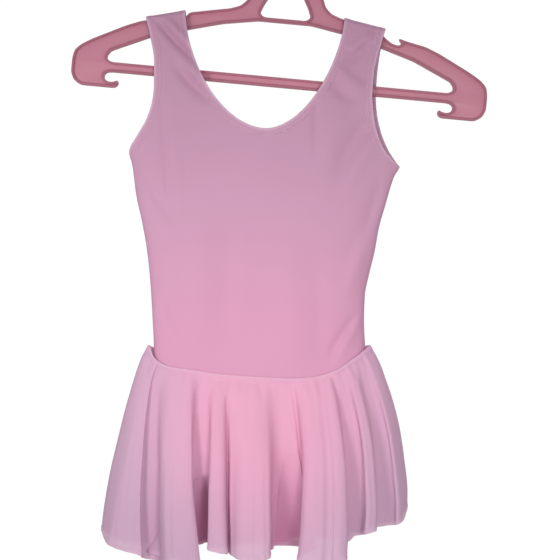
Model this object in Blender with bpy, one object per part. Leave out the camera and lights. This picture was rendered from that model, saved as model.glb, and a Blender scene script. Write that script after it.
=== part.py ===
"""A child's skirted ballet leotard on a moulded hanger.

X runs to the viewer's right, Y away from the viewer and Z up. The origin is the
highest point inside the hanger's hook, where the rail carries it. Sizes are in
millimetres and become metres only when a mesh is made. "Drop" is the distance
below the origin, "across" is the distance from the dress's centre line.
"""

import math
from collections import namedtuple

import bmesh
import bpy
import numpy as np

MM = 0.001

# Driving sizes of the dress
DRESS_CENTRE = -29.1
BODY_CLOTH = 1.4
SKIRT_CLOTH = 1.1
SEAM_GAP = 0.3
HANG_TILT = 0.0485
TILT_ENDS_AT = 416.0

SHOULDER_DROP = 109.0
SHOULDER_SLOPE = 0.21
STRAP_MIDDLE = 93.0
SHOULDER_ROLL = 4.5
UNDERARM_DROP = 242.0
WAIST_DROP = 420.0

NECK_HALF_WIDTH = 75.2
FRONT_NECK_DROP = 213.4
BACK_NECK_DROP = 239.0
# The powers that shape each side of the scoop: how it falls, and how it rounds at its foot
FRONT_NECK = {"left": (1.75, 1.9), "right": (1.5, 1.8)}
BACK_NECK = {"left": (2.3, 2.2), "right": (2.3, 2.2)}

HIP_DROP = 458.0
CROTCH_DROP = 570.0
CROTCH_ROLL = 14.0
SKIRT_LAP = 4.0
FOLD_FOOT = 1.5
FOLD_GROWTH = 0.85
FOLD_OVERHANG = 0.42

# Driving sizes of the hanger, in its own frame: along the bar, and up from the bar's middle
HANGER_TILT = math.radians(5.3)
HANGER_DEPTH = 7.0
HOOK_ABOVE_BAR = 170.8
HOOK_INNER_RADIUS = 19.0
HOOK_WIDTH = 8.0
HOOK_DEPTH = 6.4
BAR_TOP = 5.6
BAR_BOTTOM = -3.5
RECESS_DEPTH = 2.0
CUT_BEYOND = 1.0

Body = namedtuple("Body", "drop left right front back")
BODY = [
    Body(100, 144.0, 144.0, 7.6, 7.6),
    Body(180, 144.0, 144.0, 8.0, 8.0),
    Body(215, 137.0, 135.5, 10.0, 10.0),
    Body(235, 129.6, 128.2, 11.5, 11.5),
    Body(242, 127.1, 126.0, 12.0, 12.0),
    Body(252, 124.3, 120.8, 12.6, 12.5),
    Body(280, 120.4, 112.6, 14.2, 13.4),
    Body(302, 115.4, 106.6, 15.0, 14.0),
    Body(324, 111.2, 102.8, 15.5, 14.2),
    Body(347, 108.3, 97.4, 15.5, 14.2),
    Body(368, 106.6, 93.4, 15.5, 14.2),
    Body(392, 105.2, 92.6, 15.5, 14.2),
    Body(420, 104.0, 93.8, 15.5, 14.2),
    Body(458, 104.0, 95.0, 15.0, 14.0),
    Body(580, 104.0, 95.0, 13.0, 13.0),
]

Edge = namedtuple("Edge", "drop left right")
FRONT_ARMHOLE = [
    Edge(109, 111.0, 112.6),
    Edge(132, 106.2, 106.6),
    Edge(154, 103.0, 101.6),
    Edge(178, 103.2, 99.8),
    Edge(190, 104.4, 100.6),
    Edge(208, 109.5, 103.4),
    Edge(226, 119.5, 110.0),
    Edge(237, 126.0, 119.5),
    Edge(242, 127.1, 126.0),
]
BACK_ARMHOLE = [
    Edge(109, 111.0, 112.6),
    Edge(132, 105.4, 108.0),
    Edge(154, 102.2, 105.2),
    Edge(178, 102.4, 104.0),
    Edge(190, 103.6, 104.8),
    Edge(208, 109.0, 108.4),
    Edge(226, 119.5, 115.6),
    Edge(237, 126.0, 122.4),
    Edge(242, 127.1, 126.0),
]

# The curved waist seam: where across the panel, and what share of the sag it has there
Sag = namedtuple("Sag", "across share")
WAIST_SAG = [
    Sag(-1.0, 0.0),
    Sag(-0.93, 0.42),
    Sag(-0.80, 0.64),
    Sag(-0.60, 0.74),
    Sag(-0.34, 0.87),
    Sag(0.0, 0.96),
    Sag(0.30, 1.0),
    Sag(0.50, 0.95),
    Sag(0.68, 0.76),
    Sag(0.85, 0.38),
    Sag(1.0, 0.0),
]

Leg = namedtuple("Leg", "drop half_width")
LEG_OPENING = [
    Leg(458, 1.0),
    Leg(470, 0.84),
    Leg(490, 0.63),
    Leg(515, 0.45),
    Leg(545, 0.34),
    Leg(570, 0.31),
]

# The skirt's side seams, from the waist to the hem
SkirtSide = namedtuple("SkirtSide", "share left right front back")
SKIRT_SIDES = [
    SkirtSide(0.00, 109.5, 98.8, 17.4, 16.2),
    SkirtSide(0.06, 115.4, 104.0, 19.0, 17.5),
    SkirtSide(0.13, 120.0, 109.0, 21.0, 19.0),
    SkirtSide(0.20, 123.8, 112.8, 23.0, 21.0),
    SkirtSide(0.32, 129.8, 119.0, 27.0, 24.5),
    SkirtSide(0.50, 137.6, 126.0, 32.0, 29.0),
    SkirtSide(0.70, 145.6, 130.6, 37.0, 34.0),
    SkirtSide(0.90, 151.4, 133.6, 41.0, 38.0),
    SkirtSide(1.00, 153.4, 133.4, 43.0, 40.0),
]

# Each fold runs from the waist to the hem. The places are shares of the half width,
# the depth is how far it stands out (or in, where it is negative) at the hem, and
# "starts" is the share of the skirt's length where it begins.
Fold = namedtuple("Fold", "waist hem half_width depth starts")
FRONT_FOLDS = [
    Fold(-0.96, -0.88, 0.10, 5.0, 0.00),
    Fold(-0.88, -0.72, 0.09, -9.0, 0.00),
    Fold(-0.62, -0.59, 0.07, 9.0, 0.02),
    Fold(-0.54, -0.52, 0.03, -4.0, 0.30),
    Fold(-0.49, -0.43, 0.08, 13.0, 0.02),
    Fold(-0.41, -0.30, 0.07, -22.0, 0.02),
    Fold(-0.30, -0.18, 0.06, 9.0, 0.04),
    Fold(-0.21, -0.11, 0.03, -4.0, 0.10),
    Fold(-0.06, 0.02, 0.11, 12.0, 0.04),
    Fold(0.10, 0.21, 0.09, -18.0, 0.04),
    Fold(0.33, 0.40, 0.08, 14.0, 0.00),
    Fold(0.46, 0.51, 0.07, 10.0, 0.02),
    Fold(0.60, 0.65, 0.08, -11.0, 0.02),
    Fold(0.75, 0.78, 0.08, 5.0, 0.05),
    Fold(0.86, 0.88, 0.07, -6.0, 0.02),
]
BACK_FOLDS = [
    Fold(-0.90, -0.86, 0.08, -6.0, 0.02),
    Fold(-0.72, -0.70, 0.10, 10.0, 0.03),
    Fold(-0.54, -0.50, 0.08, -17.0, 0.04),
    Fold(-0.34, -0.30, 0.11, 12.0, 0.04),
    Fold(-0.14, -0.09, 0.08, -14.0, 0.10),
    Fold(0.06, 0.11, 0.11, 13.0, 0.05),
    Fold(0.27, 0.33, 0.08, -19.0, 0.04),
    Fold(0.48, 0.53, 0.10, 11.0, 0.06),
    Fold(0.69, 0.72, 0.08, -12.0, 0.02),
    Fold(0.86, 0.88, 0.08, 5.0, 0.05),
]

Hem = namedtuple("Hem", "across drop")
FRONT_HEM = [
    Hem(-1.00, 588), Hem(-0.95, 598), Hem(-0.72, 607), Hem(-0.58, 616),
    Hem(-0.43, 615), Hem(-0.30, 597), Hem(-0.18, 603), Hem(0.02, 608),
    Hem(0.12, 604), Hem(0.21, 600), Hem(0.30, 606), Hem(0.43, 618),
    Hem(0.53, 612), Hem(0.65, 590), Hem(0.78, 584), Hem(0.90, 581),
    Hem(0.96, 578), Hem(1.00, 568),
]
BACK_HEM = [
    Hem(-1.00, 588), Hem(-0.95, 597), Hem(-0.70, 609), Hem(-0.50, 598),
    Hem(-0.30, 610), Hem(-0.09, 600), Hem(0.11, 612), Hem(0.33, 598),
    Hem(0.53, 606), Hem(0.72, 592), Hem(0.90, 585), Hem(0.96, 580),
    Hem(1.00, 568),
]

# What tells the front panels from the back ones. Turn is -1 in front and 1 behind, and
# sag is how far the waist seam hangs down at its lowest.
Panel = namedtuple("Panel", "side turn armhole neck_drop neck folds hem sag")

# How many faces each piece is divided into
HALF_COLUMNS = 8
NECK_ROWS = 10
BODY_ROWS = 9
SKIRT_COLUMNS = 60
SKIRT_ROWS = 9


def column(rows, name):
    return np.array([getattr(row, name) for row in rows], float)


def smooth(knots, values, at):
    """A smooth curve through the table's points that never overshoots them."""
    knots = np.asarray(knots, float)
    values = np.asarray(values, float)
    steps = np.diff(knots)
    slopes = np.diff(values) / steps
    tangents = np.zeros(len(values))
    before, after = slopes[:-1], slopes[1:]
    together = before * after > 0
    total = np.where(together, before + after, 1.0)
    tangents[1:-1] = np.where(together, 2 * before * after / total, 0.0)
    tangents[0], tangents[-1] = slopes[0], slopes[-1]
    at = np.clip(at, knots[0], knots[-1])
    first = np.clip(np.searchsorted(knots, at, side="right") - 1, 0, len(steps) - 1)
    part = (at - knots[first]) / steps[first]
    rest = 1 - part
    return (
        values[first] * (1 + 2 * part) * rest ** 2
        + values[first + 1] * (3 - 2 * part) * part ** 2
        + tangents[first] * steps[first] * part * rest ** 2
        - tangents[first + 1] * steps[first] * rest * part ** 2
    )


def from_table(rows, key, name, at):
    return smooth(column(rows, key), column(rows, name), at)


def roundness(share, power=4.0):
    """How deep the flat-lying cloth is at a share of its half width."""
    return np.sqrt(np.clip(1 - np.abs(share) ** power, 0, 1))


def roll(distance, radius):
    """A quarter turn over the first stretch from a fold, then flat."""
    left = np.clip(1 - distance / radius, 0, 1)
    return np.sqrt(1 - left ** 2)


def tilted(across, drop):
    """The hanger leans, and so does the dress down to its waist."""
    fade = np.clip((TILT_ENDS_AT - drop) / (TILT_ENDS_AT - UNDERARM_DROP), 0, 1)
    return drop + HANG_TILT * across * fade


def body_place(across, drop, side):
    """The share of the body's half width, and the depth there, front or back."""
    left = from_table(BODY, "drop", "left", drop)
    right = from_table(BODY, "drop", "right", drop)
    share = (across - (right - left) / 2) / ((right + left) / 2)
    depth = from_table(BODY, "drop", side, drop) - SEAM_GAP / 2
    return share, depth * roundness(share)


def waist_share(share):
    return from_table(WAIST_SAG, "across", "share", share)


def material(name, colour, roughness):
    made = bpy.data.materials.new(name)
    made.use_nodes = True
    shader = made.node_tree.nodes["Principled BSDF"]
    shader.inputs["Base Color"].default_value = (*colour, 1)
    shader.inputs["Roughness"].default_value = roughness
    shader.inputs["Metallic"].default_value = 0.0
    made.diffuse_color = (*colour, 1)
    return made


def place_object(name, mesh, finish):
    mesh.materials.append(finish)
    piece = bpy.data.objects.new(name, mesh)
    bpy.context.scene.collection.objects.link(piece)
    return piece


def wall(name, points, faces, seam, thickness, finish):
    """Cloth as a closed wall. Points on a seam with another panel have square edges."""
    points = np.asarray(points, float)
    faces = np.asarray(faces, int)
    corners = points[faces]
    crossed = np.cross(corners[:, 2] - corners[:, 0], corners[:, 3] - corners[:, 1])
    normals = np.zeros_like(points)
    for corner in range(4):
        np.add.at(normals, faces[:, corner], crossed)
    normals[seam, 1] = 0
    normals /= np.linalg.norm(normals, axis=1)[:, None]
    outer = points + normals * thickness / 2
    inner = points - normals * thickness / 2
    count = len(points)
    borders = {}
    for face in faces:
        for start, end in zip(face, np.roll(face, -1)):
            if (end, start) in borders:
                del borders[(end, start)]
            else:
                borders[(start, end)] = True
    mesh_faces = [tuple(face) for face in faces]
    mesh_faces += [tuple(face[::-1] + count) for face in faces]
    mesh_faces += [(end, start, start + count, end + count) for start, end in borders]
    mesh = bpy.data.meshes.new(name)
    everything = np.vstack([outer, inner]) * MM
    mesh.from_pydata(everything.tolist(), [], [[int(i) for i in face] for face in mesh_faces])
    mesh.validate()
    mesh.shade_smooth()
    mesh.set_sharp_from_angle(angle=math.radians(50))
    place_object(name, mesh, finish)


def grid_faces(index, flipped):
    """Faces between the rows and columns of an array of point numbers."""
    quads = np.stack([index[:-1, :-1], index[1:, :-1], index[1:, 1:], index[:-1, 1:]], axis=-1)
    quads = quads.reshape(-1, 4)
    return quads[:, ::-1] if flipped else quads


def neck_edge(share_down, power, root):
    """Half the neck's width, at a share of the way down its scoop."""
    return NECK_HALF_WIDTH * np.clip(1 - share_down ** power, 0, 1) ** (1 / root)


def column_ease():
    """From a side seam to the middle: columns close together where the cloth rounds the side."""
    return 1 - np.cos(np.linspace(0, math.pi / 2, HALF_COLUMNS + 1))


def bodice(panel, finish):
    """One bodice panel: two straps, which join at the foot of the scoop, and the trunk."""
    side, turn, neck_drop = panel.side, panel.turn, panel.neck_drop
    roll_rows = SHOULDER_DROP + SHOULDER_ROLL * np.array([0.0, 0.12, 0.35, 0.65, 1.0, 1.6])
    swing = np.linspace(0, math.pi / 2, NECK_ROWS + 1)[1:]
    scoop = SHOULDER_DROP + (neck_drop - SHOULDER_DROP) * np.sin(swing)
    scoop = scoop[scoop > roll_rows[-1] + 3]
    strap_drops = np.concatenate([roll_rows, scoop])
    if UNDERARM_DROP - neck_drop > 10:
        trunk_drops = np.linspace(neck_drop, UNDERARM_DROP, 3)[1:]
    else:
        trunk_drops = np.array([UNDERARM_DROP])
    below = UNDERARM_DROP + (WAIST_DROP - UNDERARM_DROP) * np.linspace(0, 1, BODY_ROWS + 1)[1:]
    drops = np.concatenate([strap_drops, trunk_drops, below])
    ease = column_ease()
    points = []
    index = {}
    for hand, sign in (("left", -1), ("right", 1)):
        numbers = np.zeros((len(drops), len(ease)), int)
        for row, drop in enumerate(drops):
            down = min((drop - SHOULDER_DROP) / (neck_drop - SHOULDER_DROP), 1)
            if drop < UNDERARM_DROP:
                outer_edge = from_table(panel.armhole, "drop", hand, drop)
            else:
                outer_edge = from_table(BODY, "drop", hand, drop)
            inner_edge = neck_edge(down, *panel.neck[hand])
            for step, eased in enumerate(ease):
                if row >= len(strap_drops) - 1 and step == HALF_COLUMNS and sign > 0:
                    numbers[row, step] = index["left"][row, step]
                    continue
                across = sign * (outer_edge + (inner_edge - outer_edge) * eased)
                share, bulge = body_place(across, drop, side)
                lean = SHOULDER_SLOPE * (abs(across) - STRAP_MIDDLE) * (1 - down) ** 2
                fall = max(0.0, (drop - UNDERARM_DROP) / (WAIST_DROP - UNDERARM_DROP))
                hang = panel.sag * waist_share(share) * fall ** 1.5
                level = tilted(across, drop + lean) + hang
                if drop >= WAIST_DROP:
                    level -= SEAM_GAP / 2
                depth = SEAM_GAP / 2 + bulge * roll(drop - SHOULDER_DROP, SHOULDER_ROLL)
                numbers[row, step] = len(points)
                points.append((DRESS_CENTRE + across, turn * depth, -level))
        index[hand] = numbers
    faces = np.vstack([
        grid_faces(index["left"], turn > 0),
        grid_faces(index["right"], turn < 0),
    ])
    seam = np.zeros(len(points), bool)
    for numbers in index.values():
        seam[numbers[0]] = True
        seam[numbers[drops >= UNDERARM_DROP, 0]] = True
    wall("bodice_" + side, points, faces, seam, BODY_CLOTH, finish)


def brief(panel, finish):
    """One brief panel, from the waist seam to the crotch, with a cut leg at each side."""
    side, turn = panel.side, panel.turn
    hip = np.linspace(0, 1, 4)
    legs = np.linspace(0, 1, 8)[1:-1]
    ends = CROTCH_ROLL * np.array([0.55, 0.2, 0.0])
    drops = np.concatenate([
        WAIST_DROP + (HIP_DROP - WAIST_DROP) * hip,
        HIP_DROP + (CROTCH_DROP - CROTCH_ROLL - HIP_DROP) * legs,
        [CROTCH_DROP - CROTCH_ROLL],
        CROTCH_DROP - ends,
    ])
    half = 1 - column_ease()
    turns = np.concatenate([-half, half[-2::-1]])
    points = []
    for drop in drops:
        cut = from_table(LEG_OPENING, "drop", "half_width", drop)
        for turned in turns:
            across = cut * turned * from_table(BODY, "drop", "left" if turned < 0 else "right", drop)
            share, depth = body_place(across, drop, side)
            depth *= roll(CROTCH_DROP - drop, CROTCH_ROLL)
            fade = max(0.0, (HIP_DROP + 40 - drop) / (HIP_DROP + 40 - WAIST_DROP)) ** 1.5
            level = drop + panel.sag * waist_share(share) * fade
            if drop <= WAIST_DROP:
                level += SEAM_GAP / 2
            points.append((DRESS_CENTRE + across, turn * (SEAM_GAP / 2 + depth), -level))
    index = np.arange(len(points)).reshape(len(drops), len(turns))
    seam = np.zeros(len(points), bool)
    seam[index[-1]] = True
    seam[index[drops <= HIP_DROP, 0]] = True
    seam[index[drops <= HIP_DROP, -1]] = True
    wall("brief_" + side, points, grid_faces(index, turn > 0), seam, BODY_CLOTH, finish)


def fold_depth(folds, share, down):
    """How far the skirt's folds stand out at a share of the hem's half width."""
    total = np.zeros_like(share)
    for fold in folds:
        near = np.clip(np.abs(share - fold.hem) / fold.half_width / FOLD_FOOT, 0, 1)
        grown = np.clip((down - fold.starts) / (1 - fold.starts), 0, 1) ** FOLD_GROWTH
        total += fold.depth * grown * np.cos(near * math.pi / 2) ** 2
    return total


def rounded_over(across, depth):
    """Folds as soft tubes: their flanks lean out over the valleys beside them."""
    slope = np.gradient(depth, across)
    return across - FOLD_OVERHANG * depth * slope


def skirt_columns(folds, half_width):
    """Shares of the half width where the columns go: closer where the cloth turns."""
    fine = np.linspace(-math.pi / 2, math.pi / 2, 1201)
    share = np.sin(fine)
    depth = fold_depth(folds, share, 1.0)
    across = rounded_over(share * half_width, depth)
    path = np.hypot(np.gradient(across), np.gradient(depth))
    bend = np.abs(np.gradient(np.gradient(depth, fine), fine)) / 700
    weight = path / path.sum() + 0.6 * bend / bend.sum() + 0.5 / len(fine)
    reached = np.concatenate([[0], np.cumsum((weight[1:] + weight[:-1]) / 2)])
    wanted = np.linspace(0, reached[-1], SKIRT_COLUMNS + 1)
    return np.sin(np.interp(wanted, reached, fine))


def skirt(panel, finish):
    """One skirt panel, lapped over the waist seam and falling in its folds to the hem."""
    side, turn, folds = panel.side, panel.turn, panel.folds
    shares = skirt_columns(folds, SKIRT_SIDES[-1].left)
    downs = np.linspace(0, 1, SKIRT_ROWS + 1) ** 1.15
    hem_drop = from_table(panel.hem, "across", "drop", shares)
    knots = np.concatenate([[-1], column(folds, "hem"), [1]])
    at_waist = np.concatenate([[-1], column(folds, "waist"), [1]])
    points = []
    for down in downs:
        left = from_table(SKIRT_SIDES, "share", "left", down)
        right = from_table(SKIRT_SIDES, "share", "right", down)
        placed = smooth(knots, knots + (at_waist - knots) * (1 - down), shares)
        base = from_table(SKIRT_SIDES, "share", side, down)
        section = roundness(placed, 4.0 - 1.2 * down)
        edge = np.clip((1 - np.abs(placed)) / 0.08, 0, 1)
        folded = fold_depth(folds, shares, down) * edge
        depth = (base - SEAM_GAP / 2) * section + folded
        across = rounded_over((right - left) / 2 + (right + left) / 2 * placed, folded)
        top = WAIST_DROP - SKIRT_LAP + panel.sag * waist_share(placed)
        level = top + (hem_drop - top) * down
        points.append(np.stack([
            DRESS_CENTRE + across, turn * (SEAM_GAP / 2 + depth), -level,
        ], axis=-1))
    points = np.array(points)
    index = np.arange(points[..., 0].size).reshape(points.shape[:2])
    seam = np.zeros(index.size, bool)
    seam[index[:, 0]] = True
    seam[index[:, -1]] = True
    points = points.reshape(-1, 3)
    wall("skirt_" + side, points, grid_faces(index, turn > 0), seam, SKIRT_CLOTH, finish)


# The hanger's right half, along the bar and up from its middle
ARM_TOP = [
    (5.0, 122), (11.0, 112), (22.0, 98), (33.0, 85), (37.0, 75), (42.5, 69.5), (52.0, 66.0),
    (74.0, 61.8), (90.0, 58.6),
]
STRAP_NOTCH = [(94.0, 52.5), (101.5, 47.0), (108.5, 45.4), (111.5, 47.4), (107.3, 52.6)]
ARM_END = [
    (116.0, 50.2), (134.0, 46.6), (148.0, 41.0), (162.0, 34.0), (178.0, 26.0), (188.0, 20.0),
    (194.0, 14.0), (195.5, 6.0), (195.5, -7.0), (192.5, -14.0), (186.0, -18.0),
]
LIP = [(153.5, -18.0), (150.0, -15.0), (150.8, -10.4), (155.0, -13.0)]
SLOT_END = [(160.5, -13.0), (164.0, -10.6), (164.5, -7.0), (162.5, -4.4), (158.5, BAR_BOTTOM)]
WINDOW_END = [(158.5, BAR_TOP), (162.5, 7.6), (163.5, 11.0), (160.0, 16.3)]
WINDOW_TOP = [(123.5, 32.7), (87.0, 43.6), (57.7, 51.5), (25.0, 57.0)]
NECK_WINDOW = [(20.0, 60.6), (24.0, 64.0), (21.0, 72.0), (9.0, 94.0), (2.6, 103.0)]
# Moulded recesses in both faces: along, upper edge and lower edge
Recess = namedtuple("Recess", "along upper lower")
ARM_RECESS = [
    Recess(44.0, 66.0, 57.0),
    Recess(60.0, 61.6, 54.0),
    Recess(76.0, 58.6, 49.6),
    Recess(88.0, 54.6, 46.4),
]
END_RECESS = [
    Recess(120.0, 46.2, 37.2),
    Recess(134.0, 43.2, 31.0),
    Recess(148.0, 37.6, 24.8),
    Recess(162.0, 30.6, 18.8),
    Recess(178.0, 22.6, -12.0),
    Recess(190.0, 14.0, -9.0),
]


def mirrored(points):
    """A closed outline from its right half, run from the middle to the middle."""
    return points + [(-along, up) for along, up in reversed(points)]


def plate(name, loops, low, high):
    """A flat plate between two depths. The first loop is its outline, the rest are holes."""
    built = bmesh.new()
    for loop in loops:
        corners = [built.verts.new((along * MM, low * MM, up * MM)) for along, up in loop]
        for number, corner in enumerate(corners):
            built.edges.new((corners[number - 1], corner))
    bmesh.ops.triangle_fill(built, use_beauty=True, edges=built.edges[:], normal=(0, -1, 0))
    lifted = bmesh.ops.extrude_face_region(built, geom=built.faces[:], use_keep_orig=True)
    moved = [item for item in lifted["geom"] if isinstance(item, bmesh.types.BMVert)]
    bmesh.ops.translate(built, verts=moved, vec=(0, (high - low) * MM, 0))
    bmesh.ops.recalc_face_normals(built, faces=built.faces[:])
    mesh = bpy.data.meshes.new(name)
    built.to_mesh(mesh)
    built.free()
    return mesh


def hook_outline():
    """The hook as a strip: up from the neck, round the rail and down to its open end."""
    middle = HOOK_ABOVE_BAR - HOOK_INNER_RADIUS
    radius = HOOK_INNER_RADIUS + HOOK_WIDTH / 2
    line = [(0.0, 108.0), (0.0, 118.0), (2.6, 125.0)]
    for degrees in range(-56, 197, 14):
        angle = math.radians(degrees)
        line.append((radius * math.cos(angle), middle + radius * math.sin(angle)))
    line = np.array(line)
    along = np.gradient(line, axis=0)
    along /= np.linalg.norm(along, axis=1)[:, None]
    sideways = np.stack([-along[:, 1], along[:, 0]], axis=-1)
    width = np.full(len(line), HOOK_WIDTH / 2)
    width[-1] *= 0.6
    left = line + sideways * width[:, None]
    right = line - sideways * width[:, None]
    return [tuple(point) for point in left] + [tuple(point) for point in right[::-1]]


def boolean(target, cutter, operation):
    change = target.modifiers.new(cutter.name, "BOOLEAN")
    change.object = cutter
    change.operation = operation
    change.solver = "EXACT"
    cutter.hide_render = True
    cutter.display_type = "WIRE"


def recess_outline(rows, hand):
    """A moulded recess between its two edges, in the right arm (hand 1) or the left (-1)."""
    upper = [(hand * row.along, row.upper) for row in rows]
    lower = [(hand * row.along, row.lower) for row in reversed(rows)]
    return upper + lower


def hanger(finish):
    """The moulded hanger: arms, bar, strap notches, end slots, rimmed recesses and hook."""
    half = ARM_TOP + STRAP_NOTCH + ARM_END + LIP + SLOT_END
    outline = mirrored(half)
    window = mirrored(WINDOW_END + WINDOW_TOP)
    neck_window = mirrored(NECK_WINDOW)
    face = HANGER_DEPTH / 2
    body = plate("hanger", [outline, window, neck_window], -face, face)
    piece = place_object("hanger", body, finish)
    parts = [(plate("hook", [hook_outline()], -HOOK_DEPTH / 2, HOOK_DEPTH / 2), "UNION")]
    for rows in (ARM_RECESS, END_RECESS):
        for hand in (-1, 1):
            loop = recess_outline(rows, hand)
            for low in (-face - CUT_BEYOND, face - RECESS_DEPTH):
                cutter = plate("recess", [loop], low, low + RECESS_DEPTH + CUT_BEYOND)
                parts.append((cutter, "DIFFERENCE"))
    for mesh, operation in parts:
        cutter = place_object("shape_" + mesh.name, mesh, finish)
        boolean(piece, cutter, operation)
        hang_up(cutter)
    hang_up(piece)


def hang_up(piece):
    """Hangs a shape by the hook and leans it with the right end lower."""
    lean, down = HANGER_TILT, HOOK_ABOVE_BAR * MM
    piece.rotation_euler = (0, lean, 0)
    piece.location = (-down * math.sin(lean), 0, -down * math.cos(lean))


def build():
    for existing in list(bpy.data.objects):
        bpy.data.objects.remove(existing, do_unlink=True)
    stretch = material("stretch_knit", (0.60, 0.31, 0.44), 0.75)
    sheer = material("soft_sheer", (0.66, 0.36, 0.50), 0.8)
    plastic = material("moulded_plastic", (0.54, 0.21, 0.29), 0.4)
    front = Panel("front", -1, FRONT_ARMHOLE, FRONT_NECK_DROP, FRONT_NECK, FRONT_FOLDS, FRONT_HEM, 30.0)
    back = Panel("back", 1, BACK_ARMHOLE, BACK_NECK_DROP, BACK_NECK, BACK_FOLDS, BACK_HEM, 9.0)
    for panel in (front, back):
        bodice(panel, stretch)
        brief(panel, stretch)
        skirt(panel, sheer)
    hanger(plastic)


build()
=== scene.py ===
import math

import bpy
import numpy as np
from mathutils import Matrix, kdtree


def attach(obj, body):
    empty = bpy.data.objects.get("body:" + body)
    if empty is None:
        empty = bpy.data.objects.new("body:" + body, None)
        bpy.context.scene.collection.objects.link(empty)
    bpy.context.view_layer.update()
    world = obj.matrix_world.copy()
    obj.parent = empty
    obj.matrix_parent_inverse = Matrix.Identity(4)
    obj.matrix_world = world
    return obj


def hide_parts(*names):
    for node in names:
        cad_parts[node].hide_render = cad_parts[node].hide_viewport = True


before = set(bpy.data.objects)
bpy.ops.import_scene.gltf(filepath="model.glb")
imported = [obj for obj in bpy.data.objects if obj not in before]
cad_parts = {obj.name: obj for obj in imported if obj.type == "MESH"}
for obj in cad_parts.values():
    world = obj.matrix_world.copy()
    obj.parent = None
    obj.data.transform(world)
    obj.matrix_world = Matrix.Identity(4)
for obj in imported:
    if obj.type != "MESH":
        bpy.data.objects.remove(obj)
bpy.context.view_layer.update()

# Sizes are in millimetres until a mesh is made. "drop" is the distance below the top of the
# hook's inside, "across" is the distance from the dress's centre line.
mm = 0.001

dress = {
    "centre": -29.1,
    "seam": 0.1,
    "tilt": 0.0485,
    "tiltEnds": 416.0,
    "shoulder": 109.0,
    "shoulderSlope": 0.21,
    "strapMiddle": 93.0,
    "shoulderRoll": 4.5,
    "underarm": 242.0,
    "waist": 420.0,
    "neckHalf": 75.2,
    "hip": 458.0,
    "hipHalf": 99.0,
    "crotch": 570.0,
    "crotchRoll": 14.0,
    "skirtLap": 4.0,
}

# Half widths and depths of the body, front and back, down its length
body = {
    "drop": [100, 180, 215, 235, 242, 252, 280, 302, 324, 347, 368, 392, 420, 458, 580],
    "left": [144, 144, 137, 129.6, 127.1, 124.3, 120.4, 115.4, 111.2, 108.3, 106.6, 105.2, 104, 104, 104],
    "right": [144, 144, 135.5, 128.2, 126, 120.8, 112.6, 106.6, 102.8, 97.4, 93.4, 92.6, 93.8, 95, 95],
    "front": [7.6, 8, 10, 11.5, 12, 12.6, 14.2, 15, 15.5, 15.5, 15.5, 15.5, 15.5, 15, 13],
    "back": [7.6, 8, 10, 11.5, 12, 12.5, 13.4, 14, 14.2, 14.2, 14.2, 14.2, 14.2, 14, 13],
}

waistSag = {
    "across": [-1, -0.93, -0.80, -0.60, -0.34, 0, 0.30, 0.50, 0.68, 0.85, 1],
    "share": [0, 0.42, 0.64, 0.74, 0.87, 0.96, 1, 0.95, 0.76, 0.38, 0],
}


def smooth(knots, values, at):
    knots = np.asarray(knots, float)
    values = np.asarray(values, float)
    steps = np.diff(knots)
    slopes = np.diff(values) / steps
    tangents = np.zeros(len(values))
    before, after = slopes[:-1], slopes[1:]
    together = before * after > 0
    total = np.where(together, before + after, 1.0)
    tangents[1:-1] = np.where(together, 2 * before * after / total, 0.0)
    tangents[0], tangents[-1] = slopes[0], slopes[-1]
    at = np.clip(at, knots[0], knots[-1])
    first = np.clip(np.searchsorted(knots, at, side="right") - 1, 0, len(steps) - 1)
    part = (at - knots[first]) / steps[first]
    rest = 1 - part
    return (
        values[first] * (1 + 2 * part) * rest ** 2
        + values[first + 1] * (3 - 2 * part) * part ** 2
        + tangents[first] * steps[first] * part * rest ** 2
        - tangents[first + 1] * steps[first] * rest * part ** 2
    )


def fromTable(table, name, at):
    return smooth(table[next(iter(table))], table[name], at)


def softStep(low, high, at):
    part = np.clip((at - low) / (high - low), 0, 1)
    return part * part * (3 - 2 * part)


def roundness(share, power=4.0):
    return np.sqrt(np.clip(1 - np.abs(share) ** power, 0, 1))


def roll(distance, radius):
    left = np.clip(1 - distance / radius, 0, 1)
    return np.sqrt(1 - left ** 2)


def tilted(across, drop):
    fade = np.clip((dress["tiltEnds"] - drop) / (dress["tiltEnds"] - dress["underarm"]), 0, 1)
    return drop + dress["tilt"] * across * fade


def bodyPlace(across, drop, side):
    left = fromTable(body, "left", drop)
    right = fromTable(body, "right", drop)
    share = (across - (right - left) / 2) / ((right + left) / 2)
    depth = fromTable(body, side, drop) - dress["seam"] / 2
    return share, depth * roundness(share)


def waistShare(share):
    return fromTable(waistSag, "share", share)


def creaseDepth(creases, x, level):
    # Soft troughs and ridges: each runs between two places, bows a little and dies out at its ends
    total = np.zeros_like(x)
    for x0, level0, x1, level1, width, height, bow in creases:
        runX, runLevel = x1 - x0, level1 - level0
        length = math.hypot(runX, runLevel)
        along = ((x - x0) * runX + (level - level0) * runLevel) / length ** 2
        off = ((x - x0) * runLevel - (level - level0) * runX) / length
        off = off + bow * 4 * along * (1 - along)
        total += height * np.exp(-(off / width) ** 2 - ((along - 0.5) / 0.45) ** 4)
    return total


# Mesh code that all cloth pieces share

def gridFaces(index, flipped):
    quads = np.stack([index[:-1, :-1], index[1:, :-1], index[1:, 1:], index[:-1, 1:]], axis=-1)
    quads = quads.reshape(-1, 4)
    return quads[:, ::-1] if flipped else quads


def welded(points, faces, *others):
    keys = np.round(points, 4)
    _, first, index = np.unique(keys, axis=0, return_index=True, return_inverse=True)
    index = index.reshape(-1)
    faces = index[faces]
    whole = np.array([len(set(face)) == 4 for face in faces.tolist()])
    return points[first], faces[whole], *[other[first] for other in others]


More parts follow.
